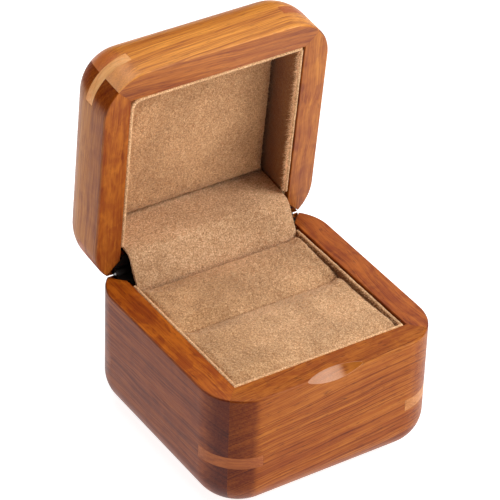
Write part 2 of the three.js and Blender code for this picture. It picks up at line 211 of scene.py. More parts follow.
# ---------------------------------------------------------------- node helper
class Tree:
    def __init__(self, name):
        self.mat = bpy.data.materials.new(name)
        self.mat.use_nodes = True
        self.t = self.mat.node_tree
        self.bsdf = self.t.nodes["Principled BSDF"]
        self.out = self.t.nodes["Material Output"]

    def node(self, kind, **props):
        n = self.t.nodes.new("ShaderNode" + kind)
        for k, v in props.items():
            setattr(n, k, v)
        return n

    def put(self, socket, v):
        if v is None:
            return
        if isinstance(v, bpy.types.NodeSocket):
            self.t.links.new(v, socket)
        else:
            if socket.type == "RGBA" and len(v) == 3:
                v = (*v, 1)
            socket.default_value = v

    def math(self, op, a, b=None, c=None, clamp=False):
        n = self.node("Math", operation=op, use_clamp=clamp)
        for s, v in zip(n.inputs, (a, b, c)):
            self.put(s, v)
        return n.outputs[0]

    def vmath(self, op, a, b=None, scale=None):
        n = self.node("VectorMath", operation=op)
        self.put(n.inputs[0], a)
        self.put(n.inputs[1], b)
        if scale is not None:
            self.put(n.inputs["Scale"], scale)
        return n.outputs["Value"] if op in ("DOT_PRODUCT", "LENGTH", "DISTANCE") else n.outputs[0]

    def vec(self, x, y, z):
        n = self.node("CombineXYZ")
        for s, v in zip(n.inputs, (x, y, z)):
            self.put(s, v)
        return n.outputs[0]

    def noise(self, vector, scale=1.0, detail=2.0, rough=0.5, distortion=0.0, color=False):
        n = self.node("TexNoise")
        self.put(n.inputs["Vector"], vector)
        n.inputs["Scale"].default_value = scale
        n.inputs["Detail"].default_value = detail
        n.inputs["Roughness"].default_value = rough
        n.inputs["Distortion"].default_value = distortion
        return n.outputs["Color" if color else "Fac"]

    def ramp(self, fac, stops, interp="LINEAR"):
        n = self.node("ValToRGB")
        n.color_ramp.interpolation = interp
        e = n.color_ramp.elements
        while len(e) < len(stops):
            e.new(0.5)
        for x, (p, c) in zip(e, stops):
            x.position = p
            x.color = (*c, 1) if len(c) == 3 else c
        self.put(n.inputs[0], fac)
        return n.outputs[0]

    def step(self, v, a, b, lo=0.0, hi=1.0):
        n = self.node("MapRange", interpolation_type="SMOOTHSTEP")
        for s, x in zip(("Value", "From Min", "From Max", "To Min", "To Max"), (v, a, b, lo, hi)):
            self.put(n.inputs[s], x)
        return n.outputs[0]

    def mix(self, fac, a, b, kind="MIX"):
        n = self.node("Mix", data_type="RGBA", blend_type=kind)
        self.put(n.inputs[0], fac)
        self.put(n.inputs[6], a)
        self.put(n.inputs[7], b)
        return n.outputs[2]

    def bump(self, height, strength, distance, normal=None):
        n = self.node("Bump")
        n.inputs["Strength"].default_value = strength
        n.inputs["Distance"].default_value = distance
        self.put(n.inputs["Height"], height)
        self.put(n.inputs["Normal"], normal)
        return n.outputs[0]

    def mm(self):
        return self.vmath("SCALE", self.node("TexCoord").outputs["Object"], scale=1000.0)


def rgb(r, g, b):
    f = lambda c: c / 12.92 if c <= 0.04045 else ((c + 0.055) / 1.055) ** 2.4
    return tuple(f(x / 255) for x in (r, g, b))


# ---------------------------------------------------------------- wood
def wood(name, u, v, w, seed, tone=(1, 1, 1), end=1.0, figure=1.0, tilt=0.0, dark=1.0, cols=None, line=None, wavy=1.0, lid=False, endc=(0.40, 0.22, 0.16), edge=(0.10, 0.45), ends=(1.0, 1.0), spec=0.3, rim=0.35, rimtone=None, freq=1.0, scoop=None, endcol=None, endspec=None):
    """Satin hardwood. u runs along the grain, v across the board's face, w through it; tilt turns the grain in the face."""
    t = Tree(name)
    ca, sa = math.cos(math.radians(tilt)), math.sin(math.radians(tilt))
    u, v, w = Vector(u), Vector(v), Vector(w)
    U, V = u * ca + v * sa, -u * sa + v * ca
    ydir, zdir, yoff = Vector((0, 1, 0)), Vector((0, 0, 1)), 0.0
    if lid:
        u, U, V, w, ydir, zdir = (turned(a) for a in (u, U, V, w, ydir, zdir))
        yoff = -(LID_SET.translation / MM).dot(ydir)
    P = t.mm()
    # slow waves in the run of the grain
    off = Vector((seed * 17.3, seed * 9.1, seed * 5.7))
    cu, cv, cw = (t.vmath("DOT_PRODUCT", P, tuple(a)) for a in (U, V, w))
    wave = t.noise(t.vec(t.math("MULTIPLY_ADD", cu, 0.035, off.x), t.math("MULTIPLY_ADD", cv, 0.06, off.y), t.math("MULTIPLY", cw, 0.06)), 1, 2, 0.5, color=True)
    sep = t.node("SeparateColor")
    t.put(sep.inputs[0], wave)
    cv2 = t.math("MULTIPLY_ADD", t.math("SUBTRACT", sep.outputs[0], 0.5), 7.0 * wavy, cv)
    cw2 = t.math("MULTIPLY_ADD", t.math("SUBTRACT", sep.outputs[1], 0.5), 7.0 * wavy, cw)
    # growth layers, seen as irregular lines about a millimetre apart
    layer = t.math("ADD", t.math("MULTIPLY", cv2, 0.62), t.math("MULTIPLY", cw2, 0.50))
    rings = t.noise(t.vec(t.math("MULTIPLY_ADD", cu, 0.016, off.y), layer, off.z), 0.95, 4.0, 0.62)
    broad = t.noise(t.vec(t.math("MULTIPLY_ADD", cu, 0.012, off.z), t.math("MULTIPLY", cv2, 0.16), t.math("MULTIPLY_ADD", cw2, 0.16, off.x)), 1, 2, 0.5)
    lines = t.noise(t.vec(t.math("MULTIPLY_ADD", cu, 0.020, off.x), t.math("MULTIPLY", layer, 2.9 * freq), off.y), 1, 2.0, 0.5)
    fine = t.noise(t.vec(t.math("MULTIPLY_ADD", cu, 0.11, off.x), t.math("MULTIPLY", cv2, 2.6), t.math("MULTIPLY_ADD", cw2, 2.6, off.y)), 1, 3.0, 0.6)
    pores = t.noise(t.vec(t.math("MULTIPLY_ADD", cu, 0.40, off.z), t.math("MULTIPLY", cv, 3.6), t.math("MULTIPLY_ADD", cw, 3.6, off.x)), 1, 1.0, 0.5)
    # ribbon figure: soft patches across the grain
    fig = t.noise(t.vec(t.math("MULTIPLY_ADD", cu, 0.20, off.y), t.math("MULTIPLY_ADD", cv, 0.13, off.z), t.math("MULTIPLY", cw, 0.13)), 1, 2.0, 0.55, 0.6)
    nrm = t.node("TexCoord").outputs["Normal"]
    f = t.math("ADD", t.math("MULTIPLY", rings, 0.42), t.math("ADD", t.math("MULTIPLY", fine, 0.36), t.math("MULTIPLY", broad, 0.22)))
    f = t.math("MULTIPLY_ADD", t.math("SUBTRACT", fig, 0.5), 0.16 * figure, f)
    cols = cols or [(0.38, (0.220, 0.036, 0.0040)), (0.455, (0.345, 0.074, 0.0070)), (0.53, (0.455, 0.118, 0.0110)), (0.62, (0.60, 0.185, 0.0190))]
    col = t.ramp(f, cols)
    # the darker late wood
    col = t.mix(t.math("MULTIPLY", t.step(lines, 0.47, 0.38), 0.75 * dark), col, t.mix(1.0, col, (0.50, 0.33, 0.25), "MULTIPLY"))
    # red-brown and orange drift from patch to patch
    col = t.mix(t.step(fig, 0.42, 0.68, 0.0, 0.40 * figure), col, (0.53, 0.150, 0.013))
    col = t.mix(t.step(fig, 0.50, 0.30, 0.0, 0.42 * figure), col, (0.265, 0.050, 0.009))
    # the rims show a livelier, mottled cut
    flat = t.math("MULTIPLY", t.step(t.math("ABSOLUTE", t.vmath("DOT_PRODUCT", nrm, tuple(zdir))), 0.75, 0.97), rim)
    mott = t.noise(t.vec(t.math("MULTIPLY_ADD", cu, 0.16, off.x), t.math("MULTIPLY_ADD", cv, 0.26, off.z), t.math("MULTIPLY_ADD", cw, 0.26, off.y)), 1, 3.0, 0.6, 0.8)
    col = t.mix(t.math("MULTIPLY", t.step(mott, 0.48, 0.66), flat), col, (0.58, 0.165, 0.014))
    col = t.mix(t.math("MULTIPLY", t.step(mott, 0.52, 0.36), flat), col, (0.270, 0.046, 0.007))
    # painted light and shade: the faces turned along the box's height, the rims, get a tint of their own apart from
    # the board's side faces, fitted to how each is lit
    if rimtone:
        col = t.mix(t.step(t.math("ABSOLUTE", t.vmath("DOT_PRODUCT", nrm, tuple(zdir))), 0.75, 0.97), col, t.mix(1.0, col, rimtone, "MULTIPLY"))
    # pores, short dark dashes
    pore = t.step(pores, 0.62, 0.72)
    col = t.mix(t.math("MULTIPLY", pore, 0.5 * dark), col, (0.085, 0.016, 0.003))
    # end grain darkens where the surface turns across the fibres
    signed = t.vmath("DOT_PRODUCT", nrm, tuple(u))
    across = t.math("ABSOLUTE", signed)
    speck = t.noise(P, 3.2, 2.0, 0.6)
    endf = t.math("MULTIPLY", t.step(across, *edge), t.step(speck, 0.2, 0.62, 0.72 * end, 1.0 * end))
    endf = t.math("MULTIPLY", endf, t.step(signed, -0.01, 0.01, *ends))
    if endcol:
        # one colour below the key and another above it; the pale one below is partly the board's own colour, partly
        # painted sheen, where this corner faces up into the light
        zc = t.math("ADD", t.vmath("DOT_PRODUCT", P, tuple(zdir)), -(LID_SET.translation / MM).dot(zdir) if lid else 0.0)
        pick = t.mix(t.step(zc, 38.6, 40.2), endcol[0], endcol[1])
        col = t.mix(endf, col, t.mix(0.72, col, t.mix(1.0, pick, t.mix(speck, (0.80, 0.80, 0.80), (1.08, 1.08, 1.08)), "MULTIPLY")))
    else:
        col = t.mix(endf, col, t.mix(1.0, col, endc, "MULTIPLY"))
    if tone != (1, 1, 1):
        col = t.mix(1.0, col, tone, "MULTIPLY")
    if not lid:
        # painted shade: the base's walls darken toward the bottom, from 6.5 mm down to the floor
        foot = t.node("SeparateXYZ")
        t.put(foot.inputs[0], P)
        col = t.mix(t.step(foot.outputs[2], 6.5, 0.5, 0.0, 0.85), col, t.mix(1.0, col, (0.66, 0.58, 0.46), "MULTIPLY"))
    if scoop:
        # the thumb notch: a painted highlight on the flank turned toward the key light, pale like its reflection, and
        # a painted brighter orange on the flank turned away, lifting its shade
        inside = t.step(t.vmath("DISTANCE", P, scoop[:3]), scoop[3] + 0.10, scoop[3] + 0.02)
        col = t.mix(t.math("MULTIPLY", inside, t.step(signed, -0.16, -0.06, 0.0, 0.52)), col, t.mix(speck, (0.58, 0.31, 0.19), (0.84, 0.48, 0.31)))
        col = t.mix(t.math("MULTIPLY", inside, t.step(signed, -0.14, -0.22, 0.0, 0.45)), col, (0.66, 0.215, 0.028))
    if line:
        # glue line along the mitres
        s = t.node("SeparateXYZ")
        t.put(s.inputs[0], P)
        yy = t.math("ADD", t.vmath("DOT_PRODUCT", P, tuple(ydir)), yoff)
        d = t.math("ABSOLUTE", t.math("SUBTRACT", t.math("ABSOLUTE", s.outputs[0]), t.math("ABSOLUTE", yy)))
        col = t.mix(t.step(d, 0.05, 0.20, line, 0.0), col, (0.060, 0.012, 0.003))
    t.put(t.bsdf.inputs["Base Color"], col)
    t.put(t.bsdf.inputs["Roughness"], t.step(fine, 0.3, 0.7, 0.46, 0.37))
    t.bsdf.inputs["IOR"].default_value = 1.45
    if endspec is None:
        t.bsdf.inputs["Specular IOR Level"].default_value = spec
    else:
        # open end grain scatters more and shines less
        t.put(t.bsdf.inputs["Specular IOR Level"], t.step(endf, 0.0, 0.8, spec, endspec))
    t.bsdf.inputs["Coat Weight"].default_value = 0.06 if endspec is None else 0.02
    t.bsdf.inputs["Coat Roughness"].default_value = 0.22
    h = t.math("ADD", t.math("MULTIPLY", fine, 0.5), t.math("MULTIPLY", pore, -0.8))
    t.put(t.bsdf.inputs["Normal"], t.bump(h, 0.35, 0.00004))
    return t.mat


X, Y, Z = (1, 0, 0), (0, 1, 0), (0, 0, 1)
NA = (64 - 2.25 ** 2) / 4.5
SCOOP = (-0.6, -HALF - NA, HB + NA, math.sqrt(64 + 2 * NA * NA))
LIDC = [(0.38, (0.325, 0.072, 0.007)), (0.455, (0.51, 0.150, 0.014)), (0.53, (0.655, 0.229, 0.022)), (0.62, (0.83, 0.323, 0.037))]
FRONTC = [(0.38, (0.258, 0.046, 0.0048)), (0.455, (0.358, 0.079, 0.0075)), (0.53, (0.448, 0.116, 0.0107)), (0.62, (0.56, 0.168, 0.0168))]
WOOD = {
    "base_front_wall": wood("wood_base_front", X, Z, Y, 1, tone=(0.90, 0.95, 1.22), cols=FRONTC, figure=0.2, tilt=6, wavy=0.30, dark=1.05, freq=1.6, line=0.0, edge=(0.10, 0.30), end=0.85, ends=(1.0, 0.30), endc=(0.44, 0.27, 0.16), spec=0.14, scoop=SCOOP),
    "base_back_wall": wood("wood_base_back", X, Z, Y, 2, figure=0.6, tilt=-3, wavy=0.7, line=0.1),
    # painted shade: the left wall's tone darkens its side face, turned from the key light, and its rim tint lifts the
    # rim back
    "base_left_wall": wood("wood_base_left", Y, Z, X, 3, tone=(0.555, 0.425, 0.43), figure=0.40, tilt=-2, wavy=0.35, dark=0.8, line=0.0, edge=(0.14, 0.56), spec=0.22, rim=0.55, rimtone=(1.68, 1.95, 1.5), endc=(0.46, 0.28, 0.22)),
    "base_right_wall": wood("wood_base_right", Y, Z, X, 4, tone=(0.90, 0.80, 0.92), figure=0.9, tilt=2, wavy=0.8, line=0.1),
    "base_bottom_panel": wood("wood_base_bottom", X, Y, Z, 5, figure=0.5),
    "lid_front_wall": wood("wood_lid_front", X, Z, Y, 6, cols=LIDC, end=1.0, figure=0.0, tilt=3, dark=0.62, wavy=0.25, freq=1.5, line=0.15, lid=True, endcol=((0.92, 0.39, 0.135), (0.66, 0.155, 0.030)), edge=(0.10, 0.45), ends=(1.0, 0.0), spec=0.45, rim=0.0, rimtone=(0.64, 0.50, 0.46)),
    "lid_back_wall": wood("wood_lid_back", X, Z, Y, 7, figure=0.6, wavy=0.7, line=0.1, lid=True),
    "lid_left_wall": wood("wood_lid_left", Y, Z, X, 8, tone=(0.85, 0.99, 1.20), end=1.0, figure=0.5, tilt=2, wavy=0.5, dark=0.35, line=0.1, lid=True, endc=(0.66, 0.40, 0.22), spec=0.26, endspec=0.02, rim=0.5, rimtone=(1.14, 1.04, 1.2)),
    "lid_right_wall": wood("wood_lid_right", Y, Z, X, 9, tone=(1.02, 1.20, 1.75), figure=0.6, tilt=-2, wavy=0.5, dark=0.5, freq=1.4, line=0.3, lid=True, rim=0.26, ends=(1.0, 0.3)),
    "lid_top_panel": wood("wood_lid_top", X, Y, Z, 10, figure=0.8, lid=True),
}
KEYC = [(0.34, (0.40, 0.14, 0.022)), (0.48, (0.56, 0.235, 0.048)), (0.56, (0.66, 0.30, 0.075)), (0.68, (0.78, 0.41, 0.12))]
PALE = [(0.34, (0.76, 0.255, 0.050)), (0.48, (0.90, 0.370, 0.102)), (0.56, (0.96, 0.465, 0.160)), (0.68, (0.98, 0.56, 0.25))]
D1, D2 = (0.7071, 0.7071, 0), (0.7071, -0.7071, 0)


def key_wood(name, along, seed, tone, lid, cols):
    return wood(name, along, Z, D1 if along == D2 else D2, seed, tone=tone, end=0.15, figure=0.0, dark=0.3, cols=cols, lid=lid)


# ---------------------------------------------------------------- carcass
def ring(hw, hd, r, z, n):
    out = []
    for sx, sy, a0 in ((1, 1, 0), (-1, 1, 90), (-1, -1, 180), (1, -1, 270)):
        for k in range(n + 1):
            a = math.radians(a0 + 90 * k / n)
            out.append((sx * (hw - r) + r * math.cos(a), sy * (hd - r) + r * math.sin(a), z))
    return out


def form(name, z_round, z_rim, R, ease=0.5, n=22, seg=18):
    s = 1 if z_rim > z_round else -1
    rings = []
    for k in range(seg + 1):
        a = math.pi / 2 * k / seg
        i = R * (1 - math.sin(a))
        rings.append(ring(HALF - i, HALF - i, max(CORNER_R - i, 0.25), z_round + s * R * (1 - math.cos(a)), n))
    for k in range(6):
        a = math.pi / 2 * k / 5
        i = ease * (1 - math.cos(a))
        rings.append(ring(HALF - i, HALF - i, CORNER_R - i, z_rim - s * ease * (1 - math.sin(a)), n))
    if s < 0:
        rings.reverse()
    m = len(rings[0])
    verts = [p for r in rings for p in r]
    faces = [(i * m + k, i * m + (k + 1) % m, (i + 1) * m + (k + 1) % m, (i + 1) * m + k) for i in range(len(rings) - 1) for k in range(m)]
    faces.append(tuple(range(m))[::-1])
    t = (len(rings) - 1) * m
    faces.append(tuple(range(t, t + m)))
    return make(name, verts, faces, None)


def bore(z_rim, up):
    """The inside, with the rim's inner edge just broken."""
    c = 0.12
    a, b = (z_rim - c, z_rim + 2) if up else (z_rim + c, z_rim - 2)
    far = -5 if up else 60
    rows = [(far, IN), (a, IN), (z_rim, IN + c), (b, IN + c)]
    if not up:
        rows = rows[::-1]
    verts = [(sx * h, sy * h, z) for z, h in rows for sx, sy in ((-1, -1), (1, -1), (1, 1), (-1, 1))]
    faces = [(i * 4 + k, i * 4 + (k + 1) % 4, (i + 1) * 4 + (k + 1) % 4, (i + 1) * 4 + k) for i in range(3) for k in range(4)]
    return make("tool", verts, faces + [(3, 2, 1, 0), (12, 13, 14, 15)], None)


CORNERS = {"front_left": (-1, -1), "front_right": (1, -1), "back_left": (-1, 1), "back_right": (1, 1)}


def key_tool(c, leg, z, thick, grow):
    sx, sy = c
    leg = leg + grow * 1.414
    f = 4
    return prism([(sx * (HALF + f), sy * (HALF + f)), (sx * (HALF - leg - f), sy * (HALF + f)), (sx * (HALF + f), sy * (HALF - leg - f))],
                 z - thick / 2 - grow, z + thick / 2 + grow, "z")


def wedge(side):
    g, B = 0.004, 80
    return prism({"front": [(0, -g), (-B, -B - g), (B, -B - g)], "back": [(0, g), (B, B + g), (-B, B + g)],
                  "left": [(-g, 0), (-B - g, B), (-B - g, -B)], "right": [(g, 0), (B + g, -B), (B + g, B)]}[side], -5, 60, "z")


def bevel_tool(lid):
    h = OPEN / 2
    o = 0.15 / math.cos(h)
    s = 1 if lid else -1
    return prism([(AY, AZ - s * 40), (AY, AZ + s * o), (AY + 20, AZ + s * (o + 20 * math.tan(h))), (AY + 20, AZ - s * 40)], -40, 40, "x")


def carcass(prefix, lid):
    z_rim = HB + RIM if lid else HB - RIM
    whole = form(prefix, HB + HL if lid else 0, z_rim, LID_ROUND if lid else BASE_ROUND)
    kz, kt, leg = (39.35, 2.6, 9.8) if lid else (14.4, 3.0, 10.6)
    out = {}
    for n, c in CORNERS.items():
        k = copy(whole, f"{prefix}_key_{n}_shaped")
        boolean(k, key_tool(c, leg, kz, kt, 0.02), "INTERSECT")
        out[f"{prefix}_key_{n}"] = k
    panel = copy(whole, prefix + "_panel")
    boolean(panel, box(-IN + 0.05, IN - 0.05, -IN + 0.05, IN - 0.05, *((HB + HL - PANEL, 60) if lid else (-5, PANEL))), "INTERSECT")
    out[prefix + ("_top_panel" if lid else "_bottom_panel")] = panel
    boolean(whole, bore(z_rim, not lid), "DIFFERENCE")
    for c in CORNERS.values():
        boolean(whole, key_tool(c, leg, kz, kt, 0.05), "DIFFERENCE")
    boolean(whole, bevel_tool(lid), "DIFFERENCE")
    boolean(whole, rod_x(-24.9, 24.9, AY, AZ, 1.6), "DIFFERENCE")
    for side in ("front", "back", "left", "right"):
        b = copy(whole, f"{prefix}_{side}_wall_shaped")
        boolean(b, wedge(side), "INTERSECT")
        if side == "back":
            boolean(b, box(-40, 40, 15, AY + 0.05, *((HB - 5, HB + 1.0) if lid else (HB - 1.0, HB + 5))), "DIFFERENCE")
            for x in (-14.5, 14.5):
                z = 37.2 if lid else 24.0
                boolean(b, hole(x, IN - 2, 27.85, z, 1.05), "DIFFERENCE")
        if side == "front" and not lid:
            half, drop = 8.0, 2.25
            na = (half * half - drop * drop) / (2 * drop)
            boolean(b, ball(-0.6, -HALF - na, HB + na, math.sqrt(half * half + 2 * na * na)), "DIFFERENCE")
        out[f"{prefix}_{side}_wall"] = b
    remove(whole)
    return out


def hole(x, y0, y1, z, r, n=20):
    v = [(x + r * math.cos(2 * math.pi * k / n), y, z + r * math.sin(2 * math.pi * k / n)) for y in (y1, y0) for k in range(n)]
    return make("tool", v, [tuple(range(n))[::-1], tuple(range(n, 2 * n))] + [(k, (k + 1) % n, n + (k + 1) % n, n + k) for k in range(n)], None)


def ball(x, y, z, r):
    bm = bmesh.new()
    bmesh.ops.create_icosphere(bm, subdivisions=6, radius=r)
    v = [(p.co.x + x, p.co.y + y, p.co.z + z) for p in bm.verts]
    f = [[p.index for p in q.verts] for q in bm.faces]
    bm.free()
    return make("tool", v, f, None)


for prefix, lid in (("base", False), ("lid", True)):
    for node, o in carcass(prefix, lid).items():
        o.name = node + "_shaped"
        shade(o, 28)
        if "_key_" in node:
            sx, sy = CORNERS[node.split("_key_")[1]]
            along = D2 if sx * sy > 0 else D1
            tone = {"base_key_front_left": (0.68, 0.39, 0.225), "base_key_front_right": (0.90, 0.74, 0.64), "base_key_back_left": (0.46, 0.22, 0.14), "lid_key_front_left": (1, 1, 1)}.get(node, (0.80, 0.45, 0.30))
            m = key_wood("wood_" + node, along, len(node) + (3 if lid else 0) + 2 * sx + sy, tone, lid, PALE if node == "lid_key_front_left" else KEYC)
            rides(o, prefix, "wood_key", node, mat=m)
        else:
            rides(o, prefix, "wood_body", node, mat=WOOD[node])


# ---------------------------------------------------------------- suede
def suede(name, tone=(1, 1, 1), seed=0.0, brush=0.06, edge=None, left_shade=None):
    """Short-nap suede: brushed mottling, fibre speckle, and sheen."""
    t = Tree(name)
    P = t.vmath("ADD", t.mm(), (seed * 13.1, seed * 7.7, seed * 3.3))
    big = t.noise(P, 0.085, 2.0, 0.5)
    mid = t.noise(P, 0.55, 3.0, 0.6, 0.4)
    sm = t.noise(P, 2.6, 2.0, 0.65)
    tiny = t.noise(P, 5.6, 2.0, 0.6)
    f = t.math("ADD", t.math("MULTIPLY", sm, 0.44), t.math("ADD", t.math("MULTIPLY", tiny, 0.38), t.math("ADD", t.math("MULTIPLY", mid, 0.09), t.math("MULTIPLY", big, 0.09))))
    col = t.ramp(f, [(0.40, (0.36, 0.180, 0.076)), (0.47, (0.55, 0.305, 0.144)), (0.53, (0.68, 0.410, 0.208)), (0.60, (0.88, 0.590, 0.34))])
    col = t.mix(1.0, col, t.ramp(big, [(0.36, (1 - brush,) * 3), (0.62, (1 + brush,) * 3)]), "MULTIPLY")
    if edge:
        # near the cut edge the painted shade gives way and the edge is painted a little paler, partly for its raised
        # pile, partly as painted light where the edge catches the light; a second step, where given, lightens the
        # painted shade toward the edge
        zz = t.math("ADD", t.vmath("DOT_PRODUCT", t.mm(), tuple(edge[0])), edge[1])
        k = t.step(zz, edge[2], edge[3])
        if len(edge) > 4:
            tone = t.mix(t.step(zz, edge[4], edge[5]), tone, edge[6])
        col = t.mix(1.0, col, t.mix(k, tone, (1.12, 1.12, 1.12)), "MULTIPLY")
    elif tone != (1, 1, 1):
        col = t.mix(1.0, col, tone, "MULTIPLY")
    if left_shade:
        # painted shade: the suede darkens toward the left side, where the light falls off; the edge of the darkening
        # wanders with the big mottle
        side = t.node("SeparateXYZ")
        t.put(side.inputs[0], t.mm())
        drift = t.math("MULTIPLY_ADD", t.math("SUBTRACT", big, 0.5), 14.0, side.outputs[0])
        col = t.mix(t.step(drift, 4.0, -17.0), col, t.mix(1.0, col, left_shade, "MULTIPLY"))
    t.put(t.bsdf.inputs["Base Color"], col)
    t.bsdf.inputs["Roughness"].default_value = 1.0
    t.bsdf.inputs["Specular IOR Level"].default_value = 0.12
    t.bsdf.inputs["Sheen Weight"].default_value = 0.35
    t.bsdf.inputs["Sheen Roughness"].default_value = 0.55
    t.bsdf.inputs["Sheen Tint"].default_value = (1.0, 0.86, 0.68, 1)
    b = t.bump(t.math("ADD", t.math("MULTIPLY", sm, 0.6), t.math("MULTIPLY", tiny, 0.4)), 0.8, 0.00022)
    t.put(t.bsdf.inputs["Normal"], b)
    return t.mat


# painted shade for the left side of the pads and of their pile
PAD_LEFT_SHADE = (0.86, 0.82, 0.75)
SUEDE = suede("suede_pads", seed=1, brush=0.08, tone=(1.03, 1.02, 1.04), left_shade=PAD_LEFT_SHADE)
SUEDE_LID = suede("suede_lid", seed=2, tone=(0.91, 0.85, 0.80))
SUEDE_LINER = suede("suede_liner", seed=3, tone=(1.22, 1.20, 1.19))
LID_Z = turned((0, 0, 1))
LID_Z0 = -(LID_SET.translation / MM).dot(LID_Z)
# painted shade: the right liners stand in deep shade in the box, so their suede is painted dark, the lid's darkest far
# from its rim
SHADE_LID = suede("suede_lid_liner_shade", seed=5, tone=(0.25, 0.120, 0.040), edge=(LID_Z, LID_Z0, 33.5, 32.8, 41.0, 33.5, (0.44, 0.29, 0.16)))
SHADE_BASE = suede("suede_base_liner_shade", seed=7, tone=(0.44, 0.31, 0.21), edge=((0, 0, 1), 0.0, 31.45, 31.75))
SUEDE_FLAP = suede("suede_hinge_cover", seed=4, tone=(1.04, 1.05, 1.12))


def plain(name, lo, hi, scale, rough=0.95, bump=0.0001):
    t = Tree(name)
    P = t.mm()
    n = t.noise(P, scale, 4.0, 0.65)
    n2 = t.noise(P, scale * 5, 2.0, 0.6)
    t.put(t.bsdf.inputs["Base Color"], t.mix(t.math("ADD", t.math("MULTIPLY", n, 0.6), t.math("MULTIPLY", n2, 0.4)), lo, hi))
    t.bsdf.inputs["Roughness"].default_value = rough
    t.put(t.bsdf.inputs["Normal"], t.bump(n2, 0.6, bump))
    return t.mat


CARD = plain("card", (0.22, 0.18, 0.13), (0.46, 0.40, 0.31), 1.6)
FOAM = plain("foam", (0.62, 0.56, 0.44), (0.90, 0.86, 0.74), 3.0)


def lattice(xs, ys, zs):
    """The closed surface of a box as a grid of quads: coordinates on each axis in rising order."""
    nx, ny, nz = len(xs), len(ys), len(zs)
    idx, verts, faces = {}, [], []

    def vid(i, j, k):
        key = (i, j, k)
        if key not in idx:
            idx[key] = len(verts)
            verts.append((xs[i], ys[j], zs[k]))
        return idx[key]

    for i in range(nx - 1):
        for j in range(ny - 1):
            faces.append((vid(i, j, nz - 1), vid(i + 1, j, nz - 1), vid(i + 1, j + 1, nz - 1), vid(i, j + 1, nz - 1)))
            faces.append((vid(i, j, 0), vid(i, j + 1, 0), vid(i + 1, j + 1, 0), vid(i + 1, j, 0)))
    for i in range(nx - 1):
        for k in range(nz - 1):
            faces.append((vid(i, 0, k), vid(i + 1, 0, k), vid(i + 1, 0, k + 1), vid(i, 0, k + 1)))
            faces.append((vid(i, ny - 1, k), vid(i, ny - 1, k + 1), vid(i + 1, ny - 1, k + 1), vid(i + 1, ny - 1, k)))
    for j in range(ny - 1):
        for k in range(nz - 1):
            faces.append((vid(0, j, k), vid(0, j, k + 1), vid(0, j + 1, k + 1), vid(0, j + 1, k)))
            faces.append((vid(nx - 1, j, k), vid(nx - 1, j + 1, k), vid(nx - 1, j + 1, k + 1), vid(nx - 1, j, k + 1)))
    return np.array(verts, float), faces


def spaced(a, b, step):
    return np.linspace(a, b, max(2, int(round((b - a) / step)) + 1))


SIM = 20.0  # the cloth is simulated this many times larger than life, where the solver's units suit it


def inflate(o, pinned, pressure=3.0, frames=16, cap=1.4):
    """Cloth simulation of a stuffed skin: the points in pinned hold still, no point moves more than cap mm."""
    rest = coords(o)
    set_coords(o, rest * SIM)
    g = o.vertex_groups.new(name="pin")
    g.add([int(i) for i in np.flatnonzero(pinned)], 1.0, "REPLACE")
    m = o.modifiers.new("cloth", "CLOTH")
    s = m.settings
    s.quality = 6
    s.mass = 0.3
    s.tension_stiffness = s.compression_stiffness = 12
    s.shear_stiffness = 6
    s.bending_stiffness = 0.6
    s.use_pressure = True
    s.uniform_pressure_force = pressure
    s.vertex_group_mass = "pin"
    s.effector_weights.gravity = 0.0
    m.collision_settings.use_collision = False
    m.collision_settings.use_self_collision = False
    m.point_cache.frame_start, m.point_cache.frame_end = 1, frames
    sc = bpy.context.scene
    for f in range(1, frames + 1):
        sc.frame_set(f)
    dg = bpy.context.evaluated_depsgraph_get()
    e = o.evaluated_get(dg)
    co = np.zeros(len(e.data.vertices) * 3)
    e.data.vertices.foreach_get("co", co)
    new = co.reshape(-1, 3) / MM / SIM
    o.modifiers.clear()
    o.vertex_groups.clear()
    sc.frame_set(1)
    d = new - rest
    d[~np.isfinite(d)] = 0
    l = np.linalg.norm(d, axis=1, keepdims=True)
    d = np.where(l > cap, d * cap / np.maximum(l, 1e-9), d)
    set_coords(o, rest + d)
    return float(l.max()), float(l.mean())


def subdivide(o, levels):
    m = o.modifiers.new("sub", "SUBSURF")
    m.levels = m.render_levels = levels
    m.subdivision_type = "CATMULL_CLARK"
    return baked(o)


def smin(a, b, k):
    h = np.clip(0.5 + 0.5 * (b - a) / k, 0, 1)
    return b * (1 - h) + a * h - k * h * (1 - h)


def nap(o, amp=0.10, scale=2.0, slow=0.10, mask=None, seed=0.0):
    """Real relief of the pile: short bumps along the surface's normal, over slow unevenness."""
    p, n = coords(o), normals(o)
    q = p + seed * 31.7
    d = (vnoise(q * scale) - 0.5) * 2 * amp + (vnoise(q * scale * 2.1 + 9) - 0.5) * amp + (vnoise(q * 0.22 + 5) - 0.5) * 2 * slow
    if mask is not None:
        d = d * mask(p)
    set_coords(o, p + n * d[:, None])


# ---------------------------------------------------------------- loose pile
def fibres(name, roots, aims, lengths, radius=0.038, seed=0, mat=None):
    """Short curved hairs, each a closed tapering cone, rooted a little below the cloth."""
    g = np.random.RandomState(seed)
    verts, faces = [], []
    for p, a, l in zip(roots, aims, lengths):
        a = a / np.linalg.norm(a)
        side = np.cross(a, g.normal(size=3))
        side /= np.linalg.norm(side)
        up3 = np.cross(a, side)
        droop = side * g.uniform(0.1, 0.45) * l
        b = len(verts)
        for f, w in ((-0.12, 1.0), (0.45, 0.8)):
            c = p + a * l * f + droop * max(f, 0) ** 2
            for k in range(3):
                q = 2 * math.pi * k / 3
                verts.append(c + (side * math.cos(q) + up3 * math.sin(q)) * radius * w)
        verts.append(p + a * l + droop)
        for k in range(3):
            faces.append((b + k, b + (k + 1) % 3, b + 3 + (k + 1) % 3, b + 3 + k))
            faces.append((b + 3 + k, b + 3 + (k + 1) % 3, b + 6))
        faces.append((b + 2, b + 1, b))
    o = make(name, verts, faces, 60)
    o.data.materials.append(mat or SUEDE_FUZZ)
    return o


